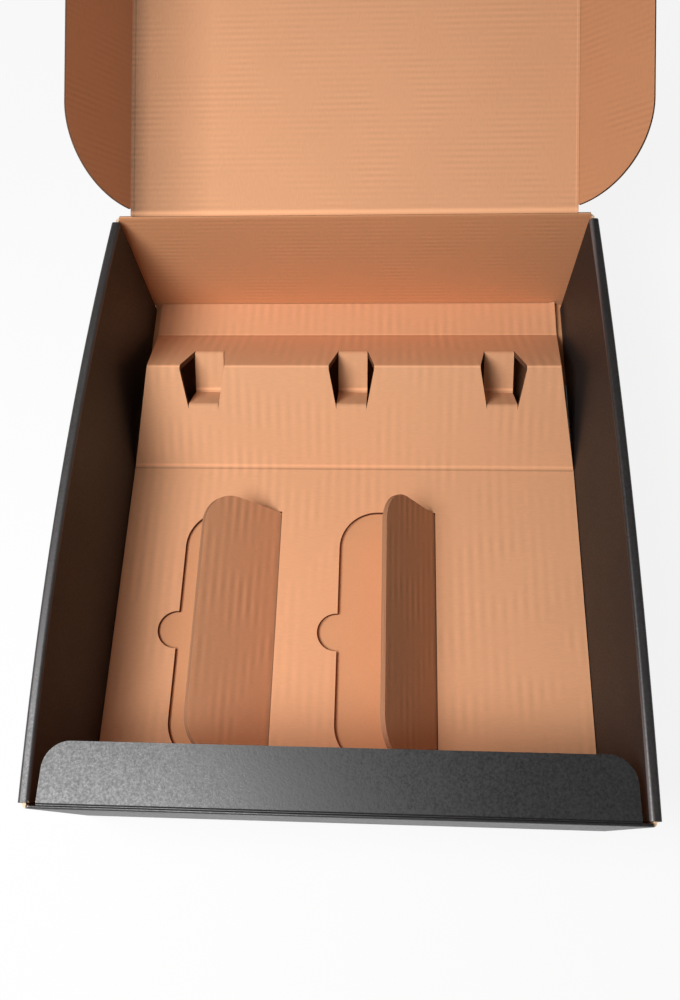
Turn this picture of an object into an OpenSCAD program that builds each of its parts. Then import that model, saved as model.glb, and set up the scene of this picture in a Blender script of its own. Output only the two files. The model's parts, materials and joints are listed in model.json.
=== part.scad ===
// Mailer box for three wine bottles: a folded tray with roll-over side walls and a hinged lid,
// and a folded insert whose bridge holds the necks while two pop-up flaps part the bottles.
// +Z is up, the front is at -Y, and the origin is the centre of the tray's underside.

/* [Tray] */
// Clear width between the side walls
inner_w = 257; // [240:1:290]
// Clear depth between the front and back walls
inner_d = 308; // [300:1:340]
// Height of the walls above the tray's floor
wall_h = 84; // [76:1:100]
// Thickness of the tray's board
board_t = 1.5; // [1.2:0.1:1.6]
// Width of the rolled rim on the side walls
rim_w = 5; // [4.8:0.1:7]
// Inner radius of the tray's folds
fold_ri = 0.5; // [0.3:0.1:0.8]
// How far the left rim bows outwards half way along
bow_left = 5; // [0:0.5:8]
// How far the right rim bows outwards half way along
bow_right = 2.4; // [0:0.2:8]
// Gap between a side wall's rear end and the back wall
side_gap_back = 3; // [2:0.5:6]
// Length of the corner flaps trapped inside the side walls
corner_flap_len = 70; // [40:5:100]
// How much the corner flaps narrow at their top and at their bottom
corner_flap_taper = 9; // [2:1:20]

/* [Locking tabs] */
// Length of a tab along the side wall
tab_len = 38; // [25:1:50]
// Distance of the tabs from the middle of the side wall
tab_offset = 78; // [55:1:95]

/* [Lid] */
// Distance from the front wall's inner face to the closed lid's front crease
lid_front_gap = 3.25; // [3:0.25:8]
// Distance from a side wall's inner face to the ear crease beside it
lid_side_gap = 5.2; // [3:0.1:8]
// Angle of the open lid above the level behind the box
lid_angle = 22; // [0:1:60]
// Width of each ear
ear_w = 41; // [30:1:44]
// Distance from the lid's hinge to the start of the ears
ear_rear_gap = 3.5; // [2:0.5:8]
// Distance from the ears' front ends to the lid's front crease
ear_front_gap = 12; // [11:1:30]
// Radius of the ears' big rear corners
ear_r = 46; // [44:1:60]
// Radius of the ears' front corners
ear_front_r = 24; // [10:1:28]
// Angle of the left ear above the lid
ear_angle_left = 53; // [10:1:80]
// Angle of the right ear above the lid
ear_angle_right = 40; // [10:1:80]
// Length of the tuck flap on the lid's front edge
tuck_len = 50; // [40:1:60]
// Corner radius of the tuck flap
tuck_r = 22; // [8:1:30]
// How much the tuck flap narrows at each side
tuck_draw_in = 3; // [1:0.5:8]
// Angle of the tuck flap above the lid
tuck_angle = 60; // [40:1:75]

/* [Front flap] */
// Length of the front flap from its hinge
lip_len = 25.4; // [18:0.2:34]
// Gap between the front flap's ends and the side walls
lip_gap = 3; // [2:0.5:6]
// Corner radius of the front flap
lip_r = 11.5; // [5:0.5:16]
// Angle of the front flap below the level
lip_angle = 0; // [0:1:30]

/* [Insert] */
// Thickness of the insert's board
insert_t = 2.9; // [2.4:0.1:3.2]
// Play between the insert and each wall
insert_play = 0.3; // [0.3:0.1:1.5]
// Length of the strip that lies behind the bridge
strip_len = 24.1; // [16:0.1:30]
// Base length of the bridge's rear slope
rear_base = 43.1; // [38:0.1:50]
// Base length of the bridge's front slope
front_base = 47.8; // [40:0.1:54]
// Height of the bridge's ridge above the tray's floor
ridge_h = 38; // [32:0.5:44]
// How far the bridge's sides are cut in at the ridge
ridge_inset = 10.2; // [4:0.2:14]
// How far the sides are cut in at the strip
strip_inset = 3.5; // [1:0.1:5]

/* [Neck notches] */
// Distance between neighbouring bottles
bottle_pitch = 86; // [78:0.5:88]
// Width of a notch at the ridge
notch_w = 26.2; // [24:0.2:30]
// Width of the strap pushed down under the neck
strap_w = 17.3; // [14:0.1:20]
// Length of the strap's rear leg
strap_rear = 23.7; // [20:0.1:26]
// Length of the strap's front leg
strap_front = 22; // [19:0.1:25]

/* [Bottle dividers] */
// Width of a divider flap from its hinge
divider_w = 52; // [44:0.5:56]
// Length of a divider flap along the bottle
divider_len = 139; // [110:1:150]
// Corner radius of the divider flaps
divider_r = 21; // [8:1:24]
// Distance from the bridge's front crease to the divider flaps
divider_back_gap = 28; // [20:0.5:34]
// How much further apart the two divider hinges are than the bottles
divider_spread = 1.6; // [0:0.2:4]
// How far both divider hinges sit right of the middle of their lanes' borders
divider_shift = 3.2; // [0:0.1:6]
// Angle of the left divider above the floor
divider_angle_left = 47.5; // [5:0.5:85]
// Angle of the right divider above the floor
divider_angle_right = 58.5; // [5:0.5:85]
// Radius of the finger notch beside each divider
finger_r = 10.4; // [8:0.2:12]
// Distance from a divider's cut edge to the middle of its finger notch
finger_out = 1; // [0:0.2:3]

/* [Clearances] */
// Gap between a hinged flap's rounded root and the board beside it
hinge_gap = 0.25; // [0.2:0.05:0.4]
// Bevel of the lid's inside edges beside the ear creases
crease_bevel = 0.6; // [0.5:0.05:0.7]
// Gap between folded layers, and round the locking tabs
layer_gap = 0.25; // [0.15:0.05:0.3]
// Width of the die-cut line round a divider flap
kerf = 0.5; // [0.4:0.1:0.8]

/* [Hidden] */
$fn = 48;

black = "#2b2a2c";
kraft = "#c98f63";
kraft_light = "#d9a47a";

fold_ro = fold_ri + board_t;
half_w = inner_w / 2;
half_d = inner_d / 2;
outer_x = half_w + rim_w;
outer_y = half_d + board_t;
floor_z = board_t;
rim_z = floor_z + wall_h;

// The side walls stop short of the front and back walls, so that the corner flaps turn in behind them
side_front = -(outer_y - fold_ro) + layer_gap;
side_back = half_d - side_gap_back;
side_mid = (side_front + side_back) / 2;
side_len = side_back - side_front;

// The corner flaps run in the middle of the hollow between the two layers of a side wall
flap_x = half_w + rim_w / 2;
corner_x = flap_x + board_t / 2 - fold_ro;
corner_y = outer_y - fold_ro;
flap_top = rim_z - board_t - 2 * layer_gap;
flap_foot = fold_ro + 2 * layer_gap;

// Hinge lines, each along the middle of a rounded root
root_r = board_t / 2;
root_edge = root_r + hinge_gap;
lid_y = half_d + board_t / 2;
lid_z = rim_z + root_r;
lid_w = inner_w - 2 * lid_side_gap;
lid_len = lid_y + half_d - lid_front_gap;
back_wall_top = lid_z - root_r - hinge_gap;
lip_y = -half_d + root_r + layer_gap;
lip_z = rim_z - root_r;

// Insert
insert_half = half_w - insert_play;
insert_mid = floor_z + insert_t / 2;
y_back = half_d - insert_play;
y_rear = y_back - strip_len;
y_ridge = y_rear - rear_base;
y_front = y_ridge - front_base;
y_end = -half_d + insert_play;
ridge_mid = floor_z + ridge_h - insert_t / 2;
rear_slope = atan2(ridge_mid - insert_mid, rear_base);
front_slope = atan2(ridge_mid - insert_mid, front_base);
ridge_pt = [y_ridge, ridge_mid];

// How much a strap is drawn in from each face of the slope it springs from, so that it ends inside it
strap_step = 0.05;

// Dividers
div_t = insert_t - layer_gap;
div_root_r = div_t / 2;
div_back = y_front - divider_back_gap;
div_mid = div_back - divider_len / 2;
hinge_x = [for (side = [-0.5, 0.5]) side * (bottle_pitch + divider_spread) + divider_shift];

loft_steps = 12;
corner_steps = 4;
arc_steps = 4;
fold_steps = 4;
outline_steps = 14;

// A side wall leans outwards above its bottom fold, most half way along, and its rim moves out unchanged
function bow_at(y, z, bow) =
    let (along = (y - side_mid) / (side_len / 2), up = (z - fold_ro) / (rim_z - 2 * fold_ro))
    bow * min(1, max(0, up)) * max(0, 1 - along * along);

function arc_points(centre, r, from, to, steps) =
    [for (i = [0:steps]) let (a = from + (to - from) * i / steps) centre + r * [cos(a), sin(a)]];

// One face of a side wall's board from the bottom fold over the rim to the foot of its inner layer,
// seen along the wall: the outer face has the folds' outer radius and the inner face their inner radius
function wall_face(r) =
    let (inner_x = half_w + fold_ro - r)
    concat(
        arc_points([outer_x - fold_ro, fold_ro], r, -90, 0, arc_steps),
        arc_points([outer_x - fold_ro, rim_z - fold_ro], r, 0, 90, arc_steps),
        arc_points([half_w + fold_ro, rim_z - fold_ro], r, 90, 180, arc_steps),
        [[inner_x, fold_ro], [inner_x, floor_z + layer_gap]]
    );

// Lofts a board through a list of depths, leaning each point outwards with the bow. Each section has
// as many points on the board's outer face as on its inner one.
module loft_board(outer, inner, depths, bow) {
    k = len(outer[0]);
    n = 2 * k;
    last = (len(depths) - 1) * n;
    points = [for (j = [0:len(depths) - 1])
        for (p = concat(outer[j], [for (i = [k - 1:-1:0]) inner[j][i]]))
            [p[0] + bow_at(depths[j], p[1], bow), depths[j], p[1]]];
    sides = [for (j = [0:len(depths) - 2]) for (i = [0:n - 1])
        let (a = j * n + i, b = j * n + (i + 1) % n)
        for (t = [[a, b, a + n], [b, b + n, a + n]]) t];
    ends = [for (i = [0:k - 2])
        let (q = [i, i + 1, n - 2 - i, n - 1 - i])
        for (f = [[q[3], q[2], q[1], q[0]], [for (v = q) last + v]]) f];
    polyhedron(points, concat(sides, ends), convexity = 6);
}

module rolled_wall(bow) {
    depths = [for (j = [0:loft_steps]) side_front + side_len * j / loft_steps];
    loft_board([for (y = depths) wall_face(fold_ro)], [for (y = depths) wall_face(fold_ri)], depths, bow);
    for (s = [-1, 1])
        translate([half_w, side_mid + s * tab_offset - tab_len / 2, layer_gap])
            cube([board_t, tab_len, floor_z]);
}

// One corner flap: a tapered tongue that starts at the corner fold and follows the bow of its wall
module corner_flap(end, bow) {
    steps = end > 0 ? [corner_steps:-1:0] : [0:corner_steps];
    runs = [for (j = steps) j / corner_steps];
    faces = [for (x = [flap_x + board_t / 2, flap_x - board_t / 2])
        [for (run = runs) [[x, flap_foot + corner_flap_taper * run], [x, flap_top - corner_flap_taper * run]]]];
    loft_board(faces[0], faces[1], [for (run = runs) end * (corner_y - corner_flap_len * run)], bow);
}

// Quarter of a folded board in its own corner, from the flat [0, -fold_ro] to the upright [fold_ro, 0]
module quarter_fold() {
    intersection() {
        difference() {
            circle(fold_ro);
            circle(fold_ri);
        }
        translate([0, -fold_ro]) square(fold_ro);
    }
}

module floor_sheet() {
    linear_extrude(board_t) {
        translate([-(outer_x - fold_ro), side_front]) square([2 * (outer_x - fold_ro), side_len]);
        translate([-corner_x, -corner_y]) square([2 * corner_x, 2 * corner_y]);
    }
}

module tab_slots() {
    for (s = [-1, 1]) for (e = [-1, 1])
        translate([s * (half_w + board_t / 2), side_mid + e * tab_offset, floor_z / 2])
            cube([board_t + 2 * layer_gap, tab_len + 4 * layer_gap, 3 * board_t], center = true);
}

// Front or back wall with its bottom fold and the two upright corner folds
module end_wall(end, top) {
    mirror([0, end > 0 ? 0 : 1, 0]) {
        translate([-corner_x, corner_y, fold_ro]) rotate([90, 0, 90])
            linear_extrude(2 * corner_x) quarter_fold();
        translate([-corner_x, half_d, fold_ro]) cube([2 * corner_x, board_t, top - root_r - fold_ro]);
        translate([-corner_x, half_d + root_r, top - root_r]) rotate([0, 90, 0])
            cylinder(r = root_r, h = 2 * corner_x);
        for (s = [0, 1]) mirror([s, 0, 0])
            translate([corner_x, corner_y, flap_foot]) linear_extrude(flap_top - flap_foot)
                rotate(90) quarter_fold();
    }
}

// Floor, front and back walls, and the corner flaps that turn in from those walls
module floor_and_ends() {
    difference() {
        floor_sheet();
        tab_slots();
    }
    end_wall(-1, rim_z);
    end_wall(1, back_wall_top);
    for (end = [-1, 1]) {
        corner_flap(end, bow_right);
        mirror([1, 0, 0]) corner_flap(end, bow_left);
    }
}

module tray() {
    color(black) {
        floor_and_ends();
        rolled_wall(bow_right);
        mirror([1, 0, 0]) rolled_wall(bow_left);
    }
}

// Outline of a flap that grows from its hinge along +Y, with two round corners at its free edge
module flap_outline(width, length, r) {
    translate([-width / 2, 0]) square([width, length - r]);
    translate([r - width / 2, 0]) square([width - 2 * r, length]);
    for (s = [-1, 1]) translate([s * (width / 2 - r), length - r]) circle(r);
}

// Gives a flat outline the board's thickness, and the round root along its hinge
module on_root(width, thick, root) {
    translate([0, 0, -thick / 2]) linear_extrude(thick) children();
    translate([-width / 2, 0, 0]) rotate([0, 90, 0]) cylinder(r = root, h = width);
}

module front_flap() {
    width = 2 * (half_w - lip_gap);
    color(black) translate([0, lip_y, lip_z]) rotate([-lip_angle, 0, 0])
        on_root(width, board_t, root_r) flap_outline(width, lip_len, lip_r);
}

// The lid's own pieces are drawn flat behind the hinge and raised together
module on_lid() {
    translate([0, lid_y, lid_z]) rotate([lid_angle, 0, 0]) children();
}

// The board is crushed beside the ear creases, which lets the ears lean in a little over the lid
module lid_panel() {
    half = lid_w / 2 - root_edge;
    top = board_t / 2;
    color(kraft) on_lid() {
        rotate([-90, 0, 0]) linear_extrude(lid_len - root_edge)
            polygon([[-half, top], [half, top], [half, crease_bevel - top], [half - crease_bevel, -top],
                     [crease_bevel - half, -top], [-half, crease_bevel - top]]);
        translate([-half, 0, 0]) rotate([0, 90, 0]) cylinder(r = root_r, h = 2 * half);
    }
}

// Ear outline with its hinge on the Y axis: a big round rear corner and a smaller one in front
ear_end = lid_len - ear_front_gap;
ear_mid = ear_rear_gap + ear_r;
ear_start = ear_mid - sqrt(pow(ear_r, 2) - pow(ear_r - ear_w, 2));

module ear_outline() {
    polygon(concat(
        arc_points([ear_w - ear_r, ear_mid], ear_r, -acos((ear_r - ear_w) / ear_r), 0, outline_steps),
        arc_points([ear_w - ear_front_r, ear_end - ear_front_r], ear_front_r, 0, 90, outline_steps),
        [[0, ear_end]]
    ));
}

module lid_ear(side, angle) {
    on_lid() mirror([side > 0 ? 0 : 1, 0, 0]) translate([lid_w / 2, 0, 0]) rotate([0, -angle, 0]) {
        translate([0, 0, -board_t / 2]) linear_extrude(board_t) ear_outline();
        translate([0, ear_start + root_r, 0]) rotate([-90, 0, 0])
            cylinder(r = root_r, h = ear_end - ear_start - root_r);
    }
}

module lid_ear_left() {
    color(kraft) lid_ear(-1, ear_angle_left);
}

module lid_ear_right() {
    color(kraft) lid_ear(1, ear_angle_right);
}

module lid_tuck_flap() {
    root = lid_w / 2 - root_edge;
    tip = root - tuck_draw_in;
    color(kraft) on_lid() translate([0, lid_len, 0]) rotate([tuck_angle, 0, 0])
        on_root(2 * root, board_t, root_r) intersection() {
            flap_outline(2 * root, tuck_len, tuck_r);
            polygon([[-root, 0], [root, 0], [tip, tuck_len], [-tip, tuck_len]]);
        }
}

// One face of a folded board seen on its edge: round outside a fold and mitred inside it.
// The side is 1 for the face on the path's left and -1 for the face on its right.
function run_normal(p, q) = [p[1] - q[1], q[0] - p[0]] / norm(q - p);

function fold_points(p, m, n, thick, side) =
    side * cross(m, n) > 0
    ? [p + side * thick / 2 * (m + n) / (1 + m * n)]
    : let (from = atan2(m[1], m[0]), turn = asin(cross(m, n)))
      [for (i = [0:fold_steps]) let (a = from + turn * i / fold_steps) p + side * thick / 2 * [cos(a), sin(a)]];

function board_face(path, thick, side) =
    let (n = [for (i = [0:len(path) - 2]) run_normal(path[i], path[i + 1])], end = len(path) - 1)
    concat(
        [path[0] + side * thick / 2 * n[0]],
        [for (i = [1:end - 1]) for (p = fold_points(path[i], n[i - 1], n[i], thick, side)) p],
        [path[end] + side * thick / 2 * n[end - 1]]
    );

module folded_section(path, thick) {
    right = board_face(path, thick, -1);
    polygon(concat(board_face(path, thick, 1), [for (i = [len(right) - 1:-1:0]) right[i]]));
}

// Stands a section drawn in Y and Z up across the box
module across(width) {
    rotate([90, 0, 90]) translate([0, 0, -width / 2]) linear_extrude(width) children();
}

// A notch cut square through one slope of the bridge, from past the ridge to just past the strap's crease
module notch_cut(length, slope_turn) {
    past = sign(length) * insert_t;
    half = [[notch_w / 2, -past], [notch_w / 2, 0], [strap_w / 2, length + past / 2]];
    translate([0, y_ridge, ridge_mid]) rotate([slope_turn, 0, 0])
        translate([0, 0, -2 * insert_t]) linear_extrude(4 * insert_t)
            polygon(concat(half, [for (i = [2:-1:0]) [-half[i][0], half[i][1]]]));
}

// The strap keeps its length when it is pushed through, so its fold mirrors the ridge in the line between its ends
strap_rear_pt = ridge_pt + strap_rear * [cos(rear_slope), -sin(rear_slope)];
strap_front_pt = ridge_pt + strap_front * [-cos(front_slope), -sin(front_slope)];
strap_dir = (strap_front_pt - strap_rear_pt) / norm(strap_front_pt - strap_rear_pt);
strap_foot = strap_rear_pt + strap_dir * ((ridge_pt - strap_rear_pt) * strap_dir);
strap_fold = 2 * strap_foot - ridge_pt;

module neck_strap() {
    rear_end = strap_rear_pt + insert_t * [cos(rear_slope), -sin(rear_slope)];
    front_end = strap_front_pt + insert_t * [-cos(front_slope), -sin(front_slope)];
    across(strap_w - 2 * strap_step)
        folded_section([rear_end, strap_rear_pt, strap_fold, strap_front_pt, front_end], insert_t - 2 * strap_step);
}

// The bridge's sides are drawn in, so that it can be folded up between the walls
module side_cuts() {
    past = insert_t;
    for (s = [0, 1]) mirror([s, 0, 0]) linear_extrude(rim_z)
        polygon([[insert_half, y_front], [insert_half - ridge_inset, y_ridge],
                 [insert_half - strip_inset, y_rear], [insert_half - strip_inset, y_back + past],
                 [insert_half + past, y_back + past], [insert_half + past, y_front]]);
}

// Place of a divider flap in the floor panel, with round corners away from the hinge
module window_outline(grow) {
    w = divider_w + grow;
    r = divider_r + grow;
    half = divider_len / 2 + grow;
    polygon(concat(
        [[0, -half]],
        arc_points([r - w, r - half], r, 270, 180, outline_steps),
        arc_points([r - w, half - r], r, 180, 90, outline_steps),
        [[0, half]]
    ));
}

module divider_window() {
    past = insert_t;
    translate([0, 0, -past]) linear_extrude(insert_t + 2 * past) {
        window_outline(kerf);
        translate([-past, -divider_len / 2 - kerf])
            square([past + insert_t / 2, divider_len + 2 * kerf]);
        polygon(arc_points([-divider_w - finger_out, 0], finger_r,
                           0, 360 - 180 / outline_steps, 2 * outline_steps - 1));
    }
}

module insert() {
    color(kraft_light) {
        difference() {
            across(2 * insert_half)
                folded_section([[y_back, insert_mid], [y_rear, insert_mid], ridge_pt,
                                [y_front, insert_mid], [y_end, insert_mid]], insert_t);
            side_cuts();
            for (x = hinge_x) translate([x, div_mid, floor_z]) divider_window();
            for (i = [-1:1]) translate([i * bottle_pitch, 0, 0]) {
                notch_cut(strap_rear, -rear_slope);
                notch_cut(-strap_front, front_slope);
            }
        }
        for (i = [-1:1]) translate([i * bottle_pitch, 0, 0]) neck_strap();
    }
}

module divider_flap(x, angle) {
    translate([x, div_mid, insert_mid]) rotate([0, angle, 0]) {
        translate([0, 0, -div_t / 2]) linear_extrude(div_t) window_outline(0);
        translate([0, divider_len / 2, 0]) rotate([90, 0, 0]) cylinder(r = div_root_r, h = divider_len);
    }
}

module divider_flap_left() {
    color(kraft) divider_flap(hinge_x[0], divider_angle_left);
}

module divider_flap_right() {
    color(kraft) divider_flap(hinge_x[1], divider_angle_right);
}

tray();
front_flap();
lid_panel();
lid_ear_left();
lid_ear_right();
lid_tuck_flap();
insert();
divider_flap_left();
divider_flap_right();
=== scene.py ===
# %% [markdown]
# # A wine box with a neck bridge and two pop-up dividers
# The real box is two die-cut sheets of corrugated board. One is black outside and brown inside and folds
# into the tray, the lid and all its flaps. The other is brown on both sides and folds into the insert that
# holds three bottles. Here each sheet is drawn as a thin surface that is folded by extruding one edge after
# another, and gets its thickness last.

# %% Load the frame
import json
from math import acos, cos, pi, radians, sin, tan

import bmesh
import bpy
from mathutils import Matrix, Vector


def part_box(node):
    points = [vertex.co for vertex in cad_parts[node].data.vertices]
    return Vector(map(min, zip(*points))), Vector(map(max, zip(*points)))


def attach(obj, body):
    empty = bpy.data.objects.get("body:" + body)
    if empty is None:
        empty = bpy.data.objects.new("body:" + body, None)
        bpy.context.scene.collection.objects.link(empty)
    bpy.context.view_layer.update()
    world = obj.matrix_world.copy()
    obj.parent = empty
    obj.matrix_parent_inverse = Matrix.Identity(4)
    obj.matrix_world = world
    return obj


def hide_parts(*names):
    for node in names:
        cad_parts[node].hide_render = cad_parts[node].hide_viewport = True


with open("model.json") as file:
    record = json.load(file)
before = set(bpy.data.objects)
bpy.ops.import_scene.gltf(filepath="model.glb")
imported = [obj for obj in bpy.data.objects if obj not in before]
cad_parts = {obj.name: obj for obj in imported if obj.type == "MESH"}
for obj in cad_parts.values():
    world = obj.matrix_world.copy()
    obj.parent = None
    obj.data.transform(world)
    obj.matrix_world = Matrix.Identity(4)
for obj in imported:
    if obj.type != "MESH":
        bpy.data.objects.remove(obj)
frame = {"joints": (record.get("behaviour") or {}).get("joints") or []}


def note_size():
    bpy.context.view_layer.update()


note_size()
joints = {j["name"]: j for j in frame["joints"]}

# %% [markdown]
# ## Sizes
# All lengths are metres. The board and its folds have a few driving sizes, and the places come from the
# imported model, as the boxes round its nodes and the positions of its hinges. So the looks can't drift away
# from the solids that the physics uses.

# %% Sizes of the board and of the box
mm = 0.001
board = 1.5 * mm
insert_board = 2.9 * mm
fold_mid = 1.25 * mm
crease_gap = 0.25 * mm
tray_low, tray_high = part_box("tray")
insert_low, insert_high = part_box("insert")


def hinge_place(joint):
    return Vector(joints[joint]["pos_m"])


lid_hinge = hinge_place("lid_hinge")
lip_hinge = hinge_place("front_flap_fold")
tuck_hinge = hinge_place("tuck_fold")
wall_top = lip_hinge.z + board / 2
lid_tilt = radians(22)
print("tray", tray_low, tray_high, "insert", insert_low, insert_high)

# %% [markdown]
# ## Helpers for working in edit mode
# By hand, one would click on edges and faces. A script has no mouse, so it picks them by their place: a
# test is run on each corner, and an edge or a face is picked where all its corners pass.

# %% Picking
near = 0.05 * mm


def object_mode():
    if bpy.context.object and bpy.context.object.mode != "OBJECT":
        bpy.ops.object.mode_set(mode="OBJECT")


def deselect():
    object_mode()
    bpy.ops.object.select_all(action="DESELECT")


def make_active(obj):
    deselect()
    bpy.context.view_layer.objects.active = obj
    obj.select_set(True)


def edit(obj):
    make_active(obj)
    bpy.ops.object.mode_set(mode="EDIT")


def pick(kind, test):
    """Select the vertices, edges or faces of the object in edit mode whose corners all pass the test."""
    mesh = bpy.context.object.data
    bpy.ops.mesh.select_mode(type=kind)
    bpy.ops.mesh.select_all(action="DESELECT")
    shape = bmesh.from_edit_mesh(mesh)
    if kind == "VERT":
        found = [v for v in shape.verts if test(v.co)]
    else:
        parts = shape.edges if kind == "EDGE" else shape.faces
        found = [p for p in parts if all(test(v.co) for v in p.verts)]
    for part in found:
        part.select_set(True)
    bmesh.update_edit_mesh(mesh)
    return len(found)


# %% [markdown]
# ### Pulling an edge along a path
# A folded sheet is one edge that is extruded again and again, a straight stretch at a time. The paths are
# points in a plane. Board never folds to a sharp line, so each bend of a path gets a radius.

# %% Moving, pulling and paths
def shift(value):
    bpy.ops.transform.translate(value=value)


def pull_along(path):
    """Extrude the picked edges from each point of the path to the next."""
    for start, end in zip(path, path[1:]):
        bpy.ops.mesh.extrude_region_move(TRANSFORM_OT_translate={"value": Vector(end) - Vector(start)})


def arc(centre, radius, start, stop, steps):
    """Points of an arc in a plane, with the angles in degrees."""
    angles = [radians(start + (stop - start) * i / steps) for i in range(steps + 1)]
    return [(centre[0] + radius * cos(a), centre[1] + radius * sin(a)) for a in angles]


def rounded(points, radius, steps=5):
    """A path in a plane whose bends, marked by a third value of True, are rounded off."""
    path = []
    for i, (a, b, bend) in enumerate(points):
        here = Vector((a, b))
        if not bend:
            path.append(here)
            continue
        back = (Vector(points[i - 1][:2]) - here).normalized()
        on = (Vector(points[i + 1][:2]) - here).normalized()
        half = acos(max(-1, min(1, back.dot(on)))) / 2
        centre = here + (back + on).normalized() * radius / sin(half)
        first = here + back * radius / tan(half) - centre
        last = here + on * radius / tan(half) - centre
        turn = first.angle_signed(last)
        path += [centre + Matrix.Rotation(-turn * k / steps, 2) @ first for k in range(steps + 1)]
    return path


# %% [markdown]
# ## Shared effects for the finishes
# Three effects come back on the boards: the faint ribs and fibres of a liner glued over flutes, the pressed
# line beside a crease, whose band also paints shade and highlights, and the pale chips where the black print
# is worn off. Each is a node group, built once, and each material feeds it with its own values. The patterns
# read Object coordinates. One helper adds a node and fills its inputs, with a value or with a link to
# another node.

# %% Node helpers
def add(tree, kind, inputs=None, **settings):
    made = tree.nodes.new(kind)
    for name, value in settings.items():
        setattr(made, name, value)
    for name, value in (inputs or {}).items():
        if isinstance(value, bpy.types.NodeSocket):
            tree.links.new(value, made.inputs[name])
        else:
            made.inputs[name].default_value = value
    return made


def math(tree, operation, first, second=0.0, clamp=False):
    made = add(tree, "ShaderNodeMath", {0: first, 1: second}, operation=operation, use_clamp=clamp)
    return made.outputs[0]


def noise(tree, place, scale, detail, roughness=0.5, middle=0.5):
    """A noise whose middle value is moved to nought."""
    values = {"Vector": place, "Scale": scale, "Detail": detail, "Roughness": roughness}
    return math(tree, "SUBTRACT", add(tree, "ShaderNodeTexNoise", values).outputs["Fac"], middle)


def new_group(name, inputs, outputs):
    """Each input has a number to begin with, or None where it is a place."""
    tree = bpy.data.node_groups.new(name, "ShaderNodeTree")
    for label, value in inputs.items():
        kind = "NodeSocketVector" if value is None else "NodeSocketFloat"
        made = tree.interface.new_socket(label, in_out="INPUT", socket_type=kind)
        if value is not None:
            made.default_value = value
    for label in outputs:
        tree.interface.new_socket(label, in_out="OUTPUT", socket_type="NodeSocketFloat")
    return tree, add(tree, "NodeGroupInput").outputs, add(tree, "NodeGroupOutput").inputs


# %% [markdown]
# ### Flute ribs and paper fibres
# A liner glued over flutes dips a little between them, so lit from the side it shows fine parallel ribs. A
# wave texture could draw them. A sine along one axis has an exact pitch, and slow noises let it wander and
# fade as on real board. Fibres are a noise stretched along the sheet, or an even grain where the stretch
# is 1, and blotches are a slow noise. The group puts out a tone for the colour and a height for the bump.

# %% Group: liner
wander_scale = 22
fade_scale = 40
blotch_scale = 14
rib_wander = 0.9
rib_fade_from = 0.4
rib_fade_gain = 3.5
fibre_height = 0.35
liner_inputs = {
    "Place": None, "Rib pitch": 3.3 * mm, "Rib tone": 0.05, "Fibre tone": 0.08, "Blotch tone": 0.05,
    "Fibre stretch": 0.18, "Fibre scale": 1500.0, "Rib height": 0.5,
}


def rib_wave(tree, place, pitch):
    apart = add(tree, "ShaderNodeSeparateXYZ", {"Vector": place})
    turn = math(tree, "DIVIDE", 2 * pi, pitch)
    wobble = math(tree, "MULTIPLY", noise(tree, place, wander_scale, 1), rib_wander)
    phase = math(tree, "ADD", math(tree, "MULTIPLY", apart.outputs["X"], turn), wobble)
    fade = noise(tree, place, fade_scale, 2, middle=rib_fade_from)
    strength = math(tree, "MULTIPLY", fade, rib_fade_gain, clamp=True)
    return math(tree, "MULTIPLY", math(tree, "SINE", phase), strength)


def make_liner_group():
    tree, given, out = new_group("Board liner", liner_inputs, ["Tone", "Height"])
    place = given["Place"]
    rib = rib_wave(tree, place, given["Rib pitch"])
    stretch = add(tree, "ShaderNodeCombineXYZ", {"X": given["Fibre stretch"], "Y": 1.0, "Z": 1.0})
    along = add(tree, "ShaderNodeMapping", {"Vector": place, "Scale": stretch.outputs[0]})
    fibres = noise(tree, along.outputs[0], given["Fibre scale"], 3, 0.7)
    blotches = noise(tree, place, blotch_scale, 4, 0.6)
    tone = math(tree, "MULTIPLY", rib, given["Rib tone"])
    tone = math(tree, "ADD", tone, math(tree, "MULTIPLY", fibres, given["Fibre tone"]))
    tone = math(tree, "ADD", tone, math(tree, "MULTIPLY", blotches, given["Blotch tone"]))
    tree.links.new(math(tree, "ADD", tone, 1.0), out["Tone"])
    ribs = math(tree, "MULTIPLY", rib, given["Rib height"])
    tree.links.new(math(tree, "ADD", ribs, math(tree, "MULTIPLY", fibres, fibre_height)), out["Height"])
    return tree


liner = make_liner_group()
print("liner group:", len(liner.nodes), "nodes")

# %% [markdown]
# ### Pressed lines, painted bands of light and shade, and worn print
# A scoring wheel leaves a thin pressed line, which is a narrow band round a value of one coordinate. The
# same band, made wide or bright, paints shade, sheen and highlights. Print wears off first where the box is
# knocked, so the chips are a noise that only comes through near a given point. Both groups put out a mask,
# and the material decides what it does with it.

# %% Groups: pressed or painted light line, worn print
chips_from = 0.42
chips_thin_out = 0.30


def make_line_group():
    tree, given, out = new_group("Pressed or painted light line", {"Along": 0.0, "At": 0.0, "Width": mm}, ["Mask"])
    away = math(tree, "ABSOLUTE", math(tree, "SUBTRACT", given["Along"], given["At"]))
    share = math(tree, "DIVIDE", away, given["Width"])
    tree.links.new(math(tree, "SUBTRACT", 1.0, share, clamp=True), out["Mask"])
    return tree


def make_worn_group():
    inputs = {"Place": None, "Middle": None, "Reach": 10 * mm, "Grain": 500.0}
    tree, given, out = new_group("Worn print", inputs, ["Mask"])
    ends = {0: given["Place"], 1: given["Middle"]}
    away = add(tree, "ShaderNodeVectorMath", ends, operation="DISTANCE").outputs["Value"]
    share = math(tree, "DIVIDE", away, given["Reach"])
    values = {"Vector": given["Place"], "Scale": given["Grain"], "Detail": 3, "Roughness": 0.6}
    chips = add(tree, "ShaderNodeTexNoise", values).outputs["Fac"]
    limit = math(tree, "ADD", math(tree, "MULTIPLY", share, chips_thin_out), chips_from)
    tree.links.new(math(tree, "GREATER_THAN", chips, limit), out["Mask"])
    return tree


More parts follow.
